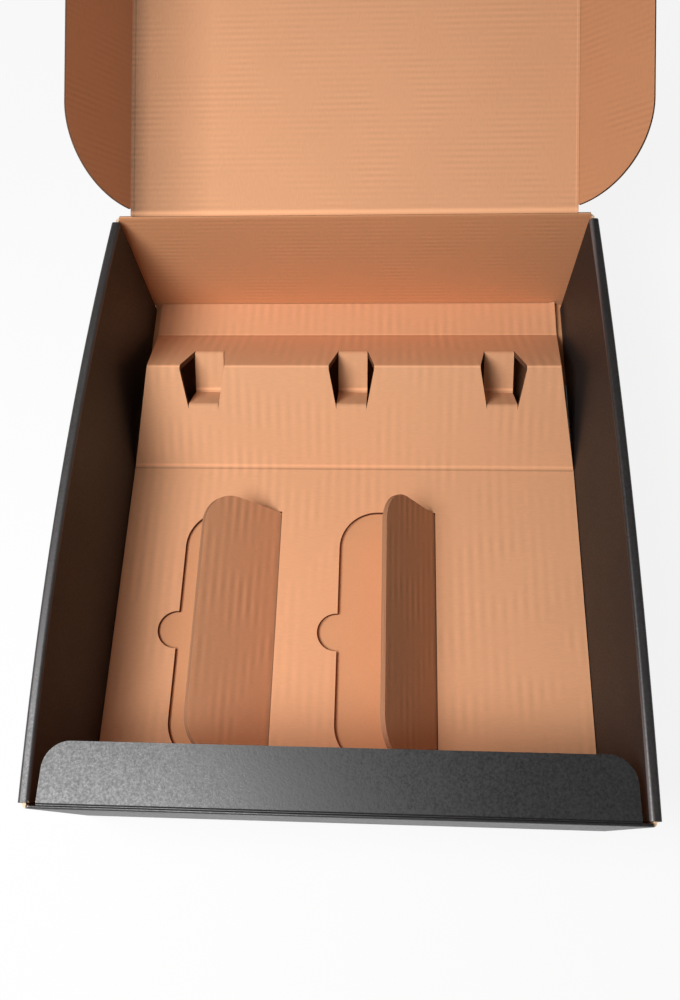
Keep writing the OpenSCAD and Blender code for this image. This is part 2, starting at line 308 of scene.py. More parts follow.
pressed_or_painted_light_line = make_line_group()
worn_print = make_worn_group()
print("node groups", [g.name for g in bpy.data.node_groups])

# %% [markdown]
# ### Steps that a board's finish takes
# The ribs lie across X, so the pattern is turned with its piece. Pressed lines and painted bands of shade
# and light then change the tone, and bare paper shows where the print is worn.

# %% Steps of a finish
bare_paper = (0.42, 0.31, 0.24)


def new_material(name):
    made = bpy.data.materials.new(name)
    made.use_nodes = True
    made.node_tree.nodes.clear()
    return made, made.node_tree


def turned_place(tree, turn, move):
    """Object coordinates, moved and then turned so that the ribs follow the piece's own first axis."""
    place = add(tree, "ShaderNodeTexCoord").outputs["Object"]
    moved = add(tree, "ShaderNodeMapping", {"Vector": place, "Location": [-v for v in move]})
    return add(tree, "ShaderNodeMapping", {"Vector": moved.outputs[0], "Rotation": turn}).outputs[0]


def pressed_and_painted_light_lines(tree, tone, place, lines):
    """Change the tone along each line, given as its axis, place, width and change. Lines are pressed creases
    and painted bands of shade and light.
    """
    apart = add(tree, "ShaderNodeSeparateXYZ", {"Vector": place})
    for axis, at, width, change in lines:
        values = {"Along": apart.outputs[axis], "At": at, "Width": width}
        mask = add(tree, "ShaderNodeGroup", values, node_tree=pressed_or_painted_light_line).outputs["Mask"]
        tone = math(tree, "ADD", tone, math(tree, "MULTIPLY", mask, change))
    return tone


def wear_off(tree, shown, place, worn):
    """Let bare paper show at each worn spot, given as its middle and reach."""
    for middle, reach in worn:
        values = {"Place": place, "Middle": middle, "Reach": reach}
        mask = add(tree, "ShaderNodeGroup", values, node_tree=worn_print).outputs["Mask"]
        colours = {"Factor": mask, "A": shown, "B": (*bare_paper, 1)}
        shown = add(tree, "ShaderNodeMix", colours, data_type="RGBA").outputs["Result"]
    return shown


# %% [markdown]
# ### One material for all boards
# Every board here is paper with ribs, fibres and blotches, so one function makes all the materials. It lays
# the liner's tone over a colour, takes the steps above, and makes a fine bump from the height.

# %% Board material
relief_depth = 0.1 * mm


def board_material(
    name, colour, rough, pitch, tones, bump,
    turn=(0, 0, 0), move=(0, 0, 0), shine=0.3, fibres=(0.18, 1500.0, 0.5), lines=(), worn=(), grainy=0.0,
):
    """Tones are for ribs, fibres and blotches. Fibres are their stretch, their scale and the height of the
    ribs. Grainy says how far the tone roughens the surface too."""
    made, tree = new_material(name)
    made.diffuse_color = (*colour, 1)
    surface = add(tree, "ShaderNodeBsdfPrincipled", {"Roughness": rough, "Specular IOR Level": shine})
    add(tree, "ShaderNodeOutputMaterial", {"Surface": surface.outputs[0]})
    values = (turned_place(tree, turn, move), pitch, *tones, *fibres)
    effect = add(tree, "ShaderNodeGroup", dict(zip(liner_inputs, values)), node_tree=liner)
    tone = effect.outputs["Tone"]
    if grainy:
        change = math(tree, "MULTIPLY", math(tree, "SUBTRACT", tone, 1.0), grainy)
        tree.links.new(math(tree, "ADD", change, rough, clamp=True), surface.inputs["Roughness"])
    place = add(tree, "ShaderNodeTexCoord").outputs["Object"]
    tone = pressed_and_painted_light_lines(tree, tone, place, lines)
    tint = add(tree, "ShaderNodeVectorMath", {0: colour, "Scale": tone}, operation="SCALE")
    tree.links.new(wear_off(tree, tint.outputs[0], place, worn), surface.inputs["Base Color"])
    relief = {"Strength": min(bump, 1.0), "Distance": max(bump, 1.0) * relief_depth}
    relief = add(tree, "ShaderNodeBump", {**relief, "Height": effect.outputs["Height"]})
    tree.links.new(relief.outputs[0], surface.inputs["Normal"])
    return made


# %% [markdown]
# ### Kraft liners
# Kraft paper is rough and has no shine. The outer sheet is a fine board whose flutes lie 3.3 mm apart, and
# the insert is a coarser one with 5.8 mm. The insert's creases show as a dark and a pale line side by side:
# the dark one where the wheel has pressed the liner in, and the pale one a painted highlight where its edge
# catches the light. The tray's floor gets a painted shade under the bridge, where little light gets in.

# %% Kraft
outer_pitch = 3.3 * mm
insert_pitch = 5.8 * mm
kraft_rough = 0.85
kraft_bump = 0.6
kraft_colour = (0.71, 0.34, 0.168)
lid_colour = (0.82, 0.41, 0.218)
kraft_tones = (0.06, 0.18, 0.12)
insert_colour = (0.80, 0.405, 0.215)
insert_tones = (0.065, 0.16, 0.10)
quarter = radians(90)
folds_y = {"foot": 38.7 * mm, "ridge": 86.5 * mm, "rear": 129.6 * mm}

# Crease lines: dark ones where the liner is pressed in, and pale ones that are painted highlights where a
# crease's edge catches the light.
insert_creases_and_highlights = [
    ("Y", folds_y[fold] + off * mm, width * mm, change)
    for fold, off, width, change in (
        ("foot", 1.1, 1.0, 0.2),
        ("foot", -0.5, 0.7, -0.35),
        ("ridge", 0.3, 1.0, 0.4),
        ("rear", -0.4, 0.7, -0.2),
        ("rear", 1.0, 0.7, 0.14),
    )
]
kraft_insert = board_material(
    "kraft_insert", insert_colour, kraft_rough, insert_pitch, insert_tones, kraft_bump, lines=insert_creases_and_highlights
)
# Painted shade on the tray's floor under the bridge, where little light gets in.
painted_shade_under_bridge = [("Y", 88 * mm, 45 * mm, -0.85)]


def outer_kraft(name, colour, turn, move=(0, 0, 0), lines=()):
    return board_material(
        name, colour, kraft_rough, outer_pitch, kraft_tones, kraft_bump, turn, move, lines=lines
    )


kraft_wall = outer_kraft("kraft_inner", kraft_colour, (0, quarter, 0), lines=painted_shade_under_bridge)
print("kraft:", kraft_insert.name, "and", kraft_wall.name)

# %% [markdown]
# ### Black print
# The black liner is the same paper with ink on it, so it keeps the grain but reflects a wide soft light,
# which is what turns the front flap grey on the side of the lamp. Its grain runs no particular way. The
# sheet is black on one side only, and three looks of it show here: the outside, the duller inner layer of
# the rolled walls, and their rim, which is painted paler as a painted sheen, strongest on the left rim, and
# has a painted highlight along its edge where the edge catches the light.
# The print is worn at the front corners, in spots given here by their x, z and reach in millimetres.

# %% Black print
worn_spots = [(-134, 4, 16), (134, 4, 16), (-130, 83, 4), (132, 83, 4)]
front_corners = [((x * mm, tray_low.y, z * mm), reach * mm) for x, z, reach in worn_spots]


def black_material(name, colour, rough=0.43, shine=0.85, lines=()):
    return board_material(
        name, colour, rough, outer_pitch, (0.03, 1.4, 0.5), 1.2,
        shine=shine, fibres=(1.0, 1000.0, 0.01), lines=lines, worn=front_corners, grainy=0.36,
    )


black_print = black_material("black_board", (0.013, 0.0125, 0.0135))
black_inside = black_material("black_inside", (0.015, 0.0125, 0.0125), 0.55, 0.4)
# Painted sheen: the rim's paler colour and a wide band on the left rim; a painted highlight along the right
# rim's inner edge.
rim_painted_sheen_lines = [("X", -134 * mm, 8 * mm, 0.8), ("X", 129.2 * mm, 1.5 * mm, 6.0)]
rim_print_with_painted_sheen = black_material("black_rim_with_painted_sheen", (0.022, 0.0195, 0.020), lines=rim_painted_sheen_lines)
print("worn spots:", len(front_corners))

# %% [markdown]
# ### Cut edges
# A cut edge is the open core of the board, paler than its liners, with the flutes' ends as short ribs. It is
# pale where light falls on it, and has darker versions, painted shade, for the narrow cuts of the insert,
# for the ears and for the dividers, whose edges lie in their own shade.

# %% Cut edges
def edge_material(name, colour):
    return board_material(name, colour, 0.9, 1.6 * mm, (0.12, 0.2, 0.1), 0.5)


cut_edge = edge_material("cut_edge", (0.84, 0.60, 0.40))
# Painted shade: darker cut edges for the insert's windows, the ears and the dividers.
cut_shade = edge_material("cut_shade", (0.14, 0.06, 0.03))
divider_edge_shade = edge_material("divider_edge_shade", (0.40, 0.19, 0.10))
print("materials", [m.name for m in bpy.data.materials])

# %% [markdown]
# ## Giving a sheet its thickness
# A folded surface becomes board with the Solidify modifier, half to each side. Its material offsets do the
# two-sided print: one side keeps the first material, the other side takes the second, and the rim takes the
# third. So the sheet's faces have to look the same way first.

# %% Thickness
kraft_side = 0
black_side = 1


def apply_modifier(obj, step):
    make_active(obj)
    bpy.ops.object.modifier_apply(modifier=step.name)


def thicken(obj, thickness, finishes, test=lambda p: True, up=1):
    """Turn all faces the same way, so that the tested ones look up, or down where up is -1, and make them
    board. The finishes are the side that the faces look to, the side behind them, and the cut edge."""
    edit(obj)
    bpy.ops.mesh.select_all(action="SELECT")
    bpy.ops.mesh.normals_make_consistent(inside=False)
    shape = bmesh.from_edit_mesh(obj.data)
    looks = [f.normal.z * up for f in shape.faces if all(test(v.co) for v in f.verts)]
    if looks[0] < 0:
        bpy.ops.mesh.flip_normals()
    object_mode()
    obj.data.materials.clear()
    for finish in finishes:
        obj.data.materials.append(finish)
    step = obj.modifiers.new("Board", "SOLIDIFY")
    step.thickness = thickness
    step.offset = 0
    step.use_even_offset = True
    step.material_offset = 1
    step.material_offset_rim = 2
    apply_modifier(obj, step)


# %% [markdown]
# ### Round roots and painted faces
# A flap turns on its score line, where the board is a round bead. So its root is pulled out by half a board
# and gets a bevel of nearly that radius. Solidify leaves the cut edge's finish there, but a score line keeps
# both liners. So the bead is painted, its upper half as the inside and its lower half as the outside.

# %% Rounding, painting and flaps
skin = 0.01 * mm
root_steps = 6
full_round = 0.97
corner_steps = 14


def round_corners(obj, test, radius, steps=corner_steps):
    """Round the corners of a flat sheet that pass the test."""
    edit(obj)
    pick("VERT", test)
    bpy.ops.mesh.bevel(offset=radius, segments=steps, affect="VERTICES")
    object_mode()


def round_edges(obj, test, radius, steps=5):
    """Round off the edges that pass the test, as a board's scored edge is."""
    edit(obj)
    count = pick("EDGE", test)
    if count:
        bpy.ops.mesh.bevel(offset=radius, segments=steps, affect="EDGES", clamp_overlap=True)
    object_mode()
    return count


def paint(obj, test, index):
    """Give the faces whose corners all pass the test another of the object's finishes."""
    edit(obj)
    count = pick("FACE", test)
    obj.active_material_index = index
    bpy.ops.object.material_slot_assign()
    object_mode()
    return count


def make_flap(obj, finishes, axis=1, up=1, root_finishes=(kraft_side, black_side)):
    """Turn a flat flap into board, with a round root on the negative side of the given axis."""
    root = board / 2
    edit(obj)
    pick("EDGE", lambda p: p[axis] < near)
    pull_along([(0, 0, 0), (-root, 0, 0) if axis == 0 else (0, -root, 0)])
    thicken(obj, board, finishes, up=up)
    round_edges(obj, lambda p: p[axis] < -root + near, root * full_round, root_steps)
    paint(obj, lambda p: p[axis] < -skin and p.z > -near, root_finishes[0])
    paint(obj, lambda p: p[axis] < -skin and p.z < near, root_finishes[1])


# %% [markdown]
# ### Shapes to start from, and finished pieces
# A primitive is added at its size and place, and both are applied to its mesh at once, so that the object
# stays at the origin. A finished flap is turned and moved in the same way. A last helper smooths the round
# edges, puts the piece under the body that it moves with and hides the solid that it stands for.

# %% New shapes, settling and finishing
smooth_below = radians(35)


def new_shape(name, add_primitive, place, scale=(1, 1, 1), **settings):
    deselect()
    add_primitive(**settings)
    obj = bpy.context.object
    obj.name = obj.data.name = name
    obj.scale = scale
    obj.location = place
    bpy.ops.object.transform_apply(location=True, rotation=False, scale=True)
    return obj


def flat_sheet(name, left, right, near_y, far_y, columns=1, rows=1, z=0.0):
    """A flat grid between the given sides."""
    middle = ((left + right) / 2, (near_y + far_y) / 2, z)
    return new_shape(
        name, bpy.ops.mesh.primitive_grid_add, middle, (right - left, far_y - near_y, 1),
        x_subdivisions=columns, y_subdivisions=rows, size=1,
    )


def settle(obj, place, *turns):
    """Turn a finished sheet about the origin, move it to its place, and apply both to its mesh."""
    make_active(obj)
    for turn in turns:
        obj.rotation_euler = turn
        bpy.ops.object.transform_apply(location=False, rotation=True, scale=True)
    obj.location = place
    bpy.ops.object.transform_apply(location=True, rotation=False, scale=False)


def finish_piece(obj, body, slot, *nodes):
    make_active(obj)
    bpy.ops.object.shade_smooth_by_angle(angle=smooth_below)
    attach(obj, body)
    if nodes:
        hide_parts(*nodes)
    print(obj.name, "rides on", body, "with", len(obj.data.polygons), "faces")


# %% [markdown]
# ## The tray
# The real tray is folded from one sheet: floor, two end walls, and two long side walls that roll over a
# narrow rim and lock into the floor with tabs. It could be cut from a block, but then nothing would keep
# the board's even thickness. So it starts as the flat floor, and its edges are pulled up, over and down.

# %% Tray: floor and side walls
side_front = -153.25 * mm
side_back = 151 * mm
side_mid = (side_front + side_back) / 2
side_rows = 24
bend_steps = 6
outer_mid = 133.5 * mm - board / 2
inner_mid = 128.5 * mm + board / 2
inner_foot = 1.75 * mm
floor_mid = board / 2
arc_x = outer_mid - fold_mid
arc_z = 2 * mm
rim_mid = 0.85 * mm
top_arc_z = wall_top - board / 2 - rim_mid
end_arc_y = 153.5 * mm
end_mid = 154.75 * mm
corner_x = 129.75 * mm


def wall_path():
    """The side wall seen from the front, on the right: up from the floor, over the rim and down inside."""
    path = arc((arc_x, arc_z), fold_mid, -90, 0, bend_steps)
    path += arc((outer_mid - rim_mid, top_arc_z), rim_mid, 0, 90, bend_steps)
    path += arc((inner_mid + rim_mid, top_arc_z), rim_mid, 90, 180, bend_steps)
    return path + [(inner_mid, inner_foot)]


tray = flat_sheet("tray_board", -arc_x, arc_x, side_front, side_back, 3, side_rows, floor_mid)
edit(tray)
for side in (-1, 1):
    pick("VERT", lambda p: abs(side * p.x - arc_x / 3) < near)
    shift((side * (corner_x - arc_x / 3), 0, 0))
for side in (-1, 1):
    pick("EDGE", lambda p: abs(p.x - side * arc_x) < near)
    pull_along([(side * x, 0, z) for x, z in wall_path()])
object_mode()
print("side walls pulled up:", len(tray.data.polygons), "faces")

# %% [markdown]
# ### End walls and the corner flaps that lock them
# The front and back walls rise from the floor's ends. Each carries a flap at both sides that turns round
# the corner and disappears inside the hollow side wall. Rows at the flap's foot and top let just that part
# of the wall's edge be pulled round the corner, and each pulled column is then made a little shorter.

# %% Tray: end walls and corner flaps
flap_foot = 2.5 * mm
flap_top = 83.5 * mm
flap_middle = (flap_top + flap_foot) / 2
flap_length = 70 * mm
flap_taper = 9 * mm
flap_steps = 4
turn_steps = 5
flap_columns = [
    (end_arc_y - flap_length * k / flap_steps, flap_taper * k / flap_steps)
    for k in range(1, flap_steps + 1)
]
root_overlap = 0.05 * mm
back_top = lid_hinge.z - board / 2 + root_overlap
hollow_x = corner_x + fold_mid


def end_path(end, top):
    path = [(end * abs(side_front if end < 0 else side_back), floor_mid)]
    path += [(end * y, z) for y, z in arc((end_arc_y, arc_z), fold_mid, -90, 0, bend_steps)]
    path += [(end * end_mid, z) for z in (flap_foot, flap_top, top)]
    return [(0, y, z) for y, z in path]


edit(tray)
for end, top in ((-1, wall_top), (1, back_top)):
    path = end_path(end, top)
    pick("EDGE", lambda p: abs(p.y - path[0][1]) < near and abs(p.x) < corner_x + near and p.z < board)
    pull_along(path)
    for side in (-1, 1):
        pick(
            "EDGE",
            lambda p: abs(p.y - end * end_mid) < near
            and abs(p.x - side * corner_x) < near
            and flap_foot - near < p.z < flap_top + near,
        )
        turn = arc((corner_x, end_arc_y), fold_mid, 90, 0, turn_steps)
        turn += [(hollow_x, y) for y, taper in flap_columns]
        pull_along([(side * x, end * y, 0) for x, y in turn])
        for y, taper in flap_columns:
            pick("VERT", lambda p: abs(p.x - side * hollow_x) < near and abs(p.y - end * y) < near)
            share = 1 - 2 * taper / (flap_top - flap_foot)
            bpy.ops.transform.resize(value=(1, 1, share), center_override=(0, 0, flap_middle))
object_mode()
print("end walls and corner flaps:", len(tray.data.polygons), "faces")

# %% [markdown]
# ### The bow of the side walls
# On the real box the long rims bulge outwards, the left one more than the right. A lattice or a bent curve
# could do it. Moving each row of the rim by a parabola is simpler, and it leaves the bottom fold straight.
# The corner flaps between the two layers follow. Then the sheet gets its thickness.

# %% Tray: bow and thickness
bows = {-1: 5 * mm, 1: 2.4 * mm}
half_side = (side_back - side_front) / 2
rows = [side_front + 2 * half_side * j / side_rows for j in range(side_rows + 1)]


def bulge(bow, y):
    return bow * (1 - ((y - side_mid) / half_side) ** 2)


edit(tray)
for side, bow in bows.items():
    for y in rows:
        pick(
            "VERT",
            lambda p: abs(p.y - y) < near and side * p.x > inner_mid - near and p.z > top_arc_z - near,
        )
        shift((side * bulge(bow, y), 0, 0))
    for end in (-1, 1):
        for y, taper in flap_columns:
            y *= end
            pick(
                "VERT",
                lambda p: abs(p.y - y) < near and abs(p.x - side * hollow_x) < near and p.z > flap_middle,
            )
            height = (flap_top - taper - arc_z) / (top_arc_z - arc_z)
            shift((side * bulge(bow, y) * height, 0, 0))
thicken(tray, board, (kraft_wall, black_print, cut_edge), lambda p: p.z < board)
note_size()

# %% [markdown]
# ### Scored top edges
# The end walls end in a rounded score line, where the lid and the front flap begin. The paper isn't cut
# there, so the back edge is painted brown inside and black outside, and the front one black, because the
# front flap turns its black side up.

# %% Tray: score lines
score_round = 0.72 * mm
score_reach = 0.74 * mm
for end, top in ((1, back_top), (-1, wall_top)):
    round_edges(
        tray, lambda p: p.z > top - near and end * p.y > 0 and abs(p.x) < corner_x + near, score_round
    )


def on_back_score(p):
    return p.z > back_top - score_reach and p.y > 0 and abs(p.x) < corner_x


paint(tray, lambda p: on_back_score(p) and p.y < end_mid + near, kraft_side)
paint(tray, lambda p: on_back_score(p) and p.y > end_mid - near, black_side)
front_face = -end_mid + board / 2 + near
blacked = paint(tray, lambda p: p.z > flap_top - near and p.y < front_face, black_side)
print("black faces along the front score line:", blacked)

# %% [markdown]
# ### Rolled rims and inner layers
# A side wall is rolled over, so the sheet's black side lies on its rim and faces the bottles too. The rim is
# painted paler, a painted sheen, and the inside is duller. They could be pieces of their own. Giving the
# picked faces another finish keeps the wall one sheet.

# %% Tray: rims and inner layers
inner_x = inner_mid - board / 2 - near
layer_foot = 1.6 * mm
layer_lift = 0.3 * mm
straight_height = 10 * mm
straight_x = 130.6 * mm
bowed_x = 134 * mm


def on_rim(p):
    return p.z > top_arc_z - near and abs(p.x) > inner_x and abs(p.y) < end_arc_y


def on_inner_layer(p):
    outer_x = straight_x if p.z < straight_height else bowed_x
    in_height = layer_foot < p.z < top_arc_z + layer_lift
    return in_height and inner_x < abs(p.x) < outer_x and abs(p.y) < end_arc_y


for finish, test in ((rim_print_with_painted_sheen, on_rim), (black_inside, on_inner_layer)):
    tray.data.materials.append(finish)
    print(finish.name, "on", paint(tray, test, len(tray.data.materials) - 1), "faces")

# %% [markdown]
# ### Blocks, cuts and joins
# Slots and windows are cut with a Boolean modifier, whose cutters carry their own finish over to the new
# faces. It needs closed solids, so the cuts come after the sheet's thickness.

# %% Blocks, cuts and joins
def block(name, low, high, finish):
    low, high = Vector(low), Vector(high)
    obj = new_shape(name, bpy.ops.mesh.primitive_cube_add, (low + high) / 2, high - low, size=1)
    obj.data.materials.append(finish)
    return obj


def cut_away(obj, cutter):
    step = obj.modifiers.new("Cut", "BOOLEAN")
    step.operation = "DIFFERENCE"
    step.solver = "EXACT"
    step.material_mode = "TRANSFER"
    step.object = cutter
    apply_modifier(obj, step)
    bpy.data.objects.remove(cutter)


def join_into(obj, others):
    make_active(obj)
    for other in others:
        other.select_set(True)
    bpy.ops.object.join()


# %% [markdown]
# ### Locking tabs, their slots and the front crease
# The tabs at the foot of the rolled walls sit in slots of the floor, which shows only from below. The front
# flap's crease is a strip of bent liner. As the flap has to turn, the strip here stops just short of it.

# %% Tray: slots, tabs and crease
tab_length = 38 * mm
tab_offset = 78 * mm
tab_top = 2 * mm
slot_top = 1.7 * mm
slack = 0.25 * mm
lip_half = 125.5 * mm
strip_half = 0.1 * mm
strip_hold = 0.05 * mm

joined = []
reach = tab_length / 2
for side in (-1, 1):
    inside, outside = sorted((side * (inner_mid - board / 2), side * (inner_mid + board / 2)))
    for end in (-1, 1):
        y = side_mid + end * tab_offset
        low = (inside - slack, y - reach - 2 * slack, -board)
        high = (outside + slack, y + reach + 2 * slack, slot_top)
        cut_away(tray, block("slot", low, high, cut_edge))
        joined.append(block("tab", (inside, y - reach, slack), (outside, y + reach, tab_top), black_print))
strip_back = lip_hinge.y - board / 2 - skin
low = (-lip_half, -end_mid + board / 2 - strip_hold, lip_hinge.z - strip_half)
high = (lip_half, strip_back, lip_hinge.z + strip_half)
joined.append(block("crease_liner", low, high, black_print))
print("tabs and crease strip:", len(joined), "blocks")
join_into(tray, joined)
finish_piece(tray, "box", "black_board", "tray")
note_size()

# %% [markdown]
# ## The insert
# The insert is one sheet with plain kraft on both sides. From the front it runs flat under the bottles,
# climbs to the ridge of the bridge, drops to the tray's floor and ends in a short strip at the back wall.
# Seen from the side that is one path with three rounded bends, which the sheet's edge is pulled along.

# %% Insert: its path from the side
insert_mid = board + insert_board / 2
ridge = Vector((folds_y["ridge"], 38.05 * mm))
insert_bend = 2 * mm
notch_rear = 25.15 * mm
notch_front = 23.45 * mm
y_end = insert_low.y
y_back = insert_high.y
y_front = folds_y["foot"]
y_rear = folds_y["rear"]
rear_down = (Vector((y_rear, insert_mid)) - ridge).normalized()
front_down = (Vector((y_front, insert_mid)) - ridge).normalized()
rear_end = ridge + rear_down * notch_rear
front_end = ridge + front_down * notch_front

insert_path = rounded(
    [
        (y_end, insert_mid, False),
        (y_front, insert_mid, True),
        (*front_end, False),
        (*ridge, True),
        (*rear_end, False),
        (y_rear, insert_mid, True),
        (y_back, insert_mid, False),
    ],
    insert_bend,
)
print("insert path:", len(insert_path), "points, ridge", round(ridge.y / mm, 2), "mm high")

# %% [markdown]
# ### The folded sheet
# Columns in the sheet sit where the neck notches need their sides, so that the notches are simply faces that
# get deleted. A grid's columns are evenly spaced, so each is moved, first to a metre beside its place, where
# it can't be picked again by mistake.

# %% Insert: sheet
insert_half = insert_high.x
notch_half = 13.1 * mm
strap_half = 8.65 * mm
bottle_pitch = 86 * mm
band_x = 124 * mm
parked = 1.0

notch_sides = [i * bottle_pitch + s * strap_half for i in (-1, 0, 1) for s in (-1, 1)]
columns = [-insert_half, *notch_sides, band_x, insert_half]
insert = flat_sheet(
    "insert_board", -insert_half, insert_half, y_end, insert_path[1][0], len(columns) - 1, 1, insert_mid
)
edit(insert)
spacing = 2 * insert_half / (len(columns) - 1)
for i, x in enumerate(columns[1:-1], 1):
    pick("VERT", lambda p: abs(p.x - (i * spacing - insert_half)) < near)
    shift((parked + x - (i * spacing - insert_half), 0, 0))
pick("VERT", lambda p: p.x > parked / 2)
shift((-parked, 0, 0))
pick("EDGE", lambda p: abs(p.y - insert_path[1][0]) < near)
pull_along([(0, y, z) for y, z in insert_path[1:]])
object_mode()
print("insert sheet:", len(insert.data.polygons), "faces")

# %% [markdown]
# ### Notches, drawn-in sides and the turned-up band
# A notch is widest on the ridge and narrows to the strap's width at both ends, so the corners at its ends
# stay and those near the ridge move apart. The bridge's sides are drawn in so that it clears the walls. At
# the right end of the rear strip a narrow band is bent up a little.

# %% Insert: notches and sides
ridge_inset = 10.2 * mm
strip_inset = 3.5 * mm
band_lift = 1.6 * mm


def side_inset(y):
    """How far the insert's side is cut in at that depth."""
    if y <= y_front:
        return 0.0
    if y <= ridge.x:
        return ridge_inset * (y - y_front) / (ridge.x - y_front)
    if y <= y_rear:
        return ridge_inset - (ridge_inset - strip_inset) * (y - ridge.x) / (y_rear - ridge.x)
    return strip_inset


edit(insert)
for p in [p for p in insert_path if front_end.x + near < p.x < rear_end.x - near]:
    fade = (p - ridge).length / (rear_end - ridge).length
    widen = (notch_half - strap_half) * (1 - fade)
    for i in (-1, 0, 1):
        for side in (-1, 1):
            x = i * bottle_pitch + side * strap_half
            pick("VERT", lambda v: abs(v.x - x) < near and abs(v.y - p.x) < near)
            shift((side * widen, 0, 0))
for y, z in insert_path:
    for side in (-1, 1):
        pick("VERT", lambda v: abs(v.y - y) < near and side * v.x > band_x - near)
        shift((-side * side_inset(y), 0, 0))
for i in (-1, 0, 1):
    pick(
        "FACE",
        lambda p: abs(p.x - i * bottle_pitch) < notch_half + near
        and front_end.x - near < p.y < rear_end.x + near,
    )
    bpy.ops.mesh.delete(type="FACE")
pick("VERT", lambda p: p.x > band_x and p.y > y_rear + insert_bend)
shift((0, 0, band_lift))
thicken(insert, insert_board, (kraft_insert, kraft_insert, cut_edge), lambda p: p.y < y_front)
note_size()

# %% [markdown]
# ### Straps under the necks
# The strip between two slits of the bridge isn't cut off. It is pushed down and folds the other way, which
# makes the seat that a bottle's neck lies on. Its crease mirrors the ridge in the line between the strap's
# ends, because the paper keeps its length. Each strap runs a little way into both slopes, and is a touch
# narrower and thinner than they are, so that no two faces lie in one plane.

# %% Insert: straps
strap_rear = ridge + rear_down * 23.7 * mm
strap_front = ridge + front_down * 22 * mm
chord = (strap_front - strap_rear).normalized()
strap_fold = 2 * (strap_rear + chord * (ridge - strap_rear).dot(chord)) - ridge
strap_board = insert_board - 0.1 * mm
strap_play = 0.05 * mm
strap_bend = 1.7 * mm
strap_hold = 3 * mm


def make_strap(x):
    start = strap_front + front_down * strap_hold
    stop = strap_rear + rear_down * strap_hold
    path = rounded(
        [(*start, False), (*strap_front, True), (*strap_fold, True), (*strap_rear, True), (*stop, False)],
        strap_bend,
    )
    half = strap_half - strap_play
    obj = flat_sheet("strap", x - half, x + half, 0, mm)
    edit(obj)
    pick("VERT", lambda p: p.y < near)
    bpy.ops.mesh.delete(type="VERT")
    pick("VERT", lambda p: True)
    shift((0, path[0][0] - mm, path[0][1]))
    pick("EDGE", lambda p: True)
    pull_along([(0, y, z) for y, z in path])
    thicken(obj, strap_board, (kraft_insert, kraft_insert, cut_edge))
    return obj


straps = [make_strap(i * bottle_pitch) for i in (-1, 0, 1)]
print("straps:", [len(s.data.polygons) for s in straps], "faces")

# %% [markdown]
# ### Windows of the divider flaps
# Each divider flap leaves a window with two round corners and a half-round finger notch in the floor panel.
# The outline could be cut face by face. A Boolean with one rounded block and one cylinder gives clean round
# corners. The cutters hand over a darker finish, painted shade, since these narrow cuts lie in their own
# shade.

# %% Insert: windows
divider_w = 52 * mm
divider_len = 139 * mm
divider_r = 21 * mm
kerf = 0.5 * mm
finger_r = 10.4 * mm
finger_out = 1 * mm
cut_depth = 8 * mm
finger_points = 48
dividers = {side: hinge_place(f"divider_{side}_fold") for side in ("left", "right")}

for side, hinge in dividers.items():
    left = hinge.x - divider_w - kerf
    right = hinge.x + insert_board / 2
    half = divider_len / 2 + kerf
    window = flat_sheet("window", left, right, hinge.y - half, hinge.y + half, z=insert_mid)
    round_corners(window, lambda p: abs(p.x - left) < near, divider_r + kerf)
    window.data.materials.append(cut_shade)
    depth = window.modifiers.new("Depth", "SOLIDIFY")
    depth.thickness = cut_depth
    depth.offset = 0
    apply_modifier(window, depth)
    cut_away(insert, window)
    middle = (hinge.x - divider_w - finger_out, hinge.y, insert_mid)
    finger = new_shape(
        "finger", bpy.ops.mesh.primitive_cylinder_add, middle,
        vertices=finger_points, radius=finger_r, depth=cut_depth,
    )
    finger.data.materials.append(cut_shade)
    cut_away(insert, finger)
join_into(insert, straps)
finish_piece(insert, "box", "kraft_insert", "insert")
note_size()

# %% [markdown]
# ## The divider flaps
# Each flap is cut from the insert's floor panel and stands up on its right edge to part two bottles. It is
# drawn flat beside its hinge, gets its round corners and its thickness, and is then turned up by the angle
# that the photograph shows. Its material turns with it, so that the ribs still run along the bottle.

# %% Divider flaps
divider_angles = {"left": radians(47.5), "right": radians(58.5)}
divider_tones = (0.16, 0.18, 0.10)
root = insert_board / 2 - crease_gap / 2

for side, hinge in dividers.items():
    angle = divider_angles[side]
    flap = flat_sheet(f"divider_{side}_board", -divider_w, 0, -divider_len / 2, divider_len / 2)
    round_corners(flap, lambda p: p.x < -divider_w + near, divider_r)
    edit(flap)
    pick("EDGE", lambda p: abs(p.x) < near)
    pull_along([(0, 0, 0), (root, 0, 0)])
    ribs = board_material(
        f"kraft_divider_{side}", insert_colour, kraft_rough, insert_pitch, divider_tones, 0.9,
        (0, -angle, 0), hinge,
    )
    thicken(flap, 2 * root, (ribs, ribs, divider_edge_shade))
    round_edges(flap, lambda p: p.x > root - near, root * full_round, root_steps)
    paint(flap, lambda p: p.x > skin, kraft_side)
    settle(flap, hinge, (0, angle, 0))
    finish_piece(flap, f"divider_{side}", "kraft_insert", f"divider_flap_{side}")

# %% [markdown]
# ## The lid and its flaps
# The lid hangs on the back wall's top edge, with an ear along each side and a tuck flap in front. They are
# drawn flat round the lid's hinge, as on the blank, folded at their own creases, and then tilted together.
# The lid has a painted shade beside the left ear, fine lines beside its ear creases and a painted highlight
# along its hinge. All are bands of the line group, wide and soft ones for the shade.

# %% Lid panel
lid_half = 123.3 * mm
lid_len = (tuck_hinge - lid_hinge).length
short_of_crease = 0.7 * mm
lid_edge = lid_half - short_of_crease


def lid_kraft(name, tilt, colour=lid_colour, lines=()):
    return outer_kraft(name, colour, (-tilt, 0, quarter), lid_hinge, lines)


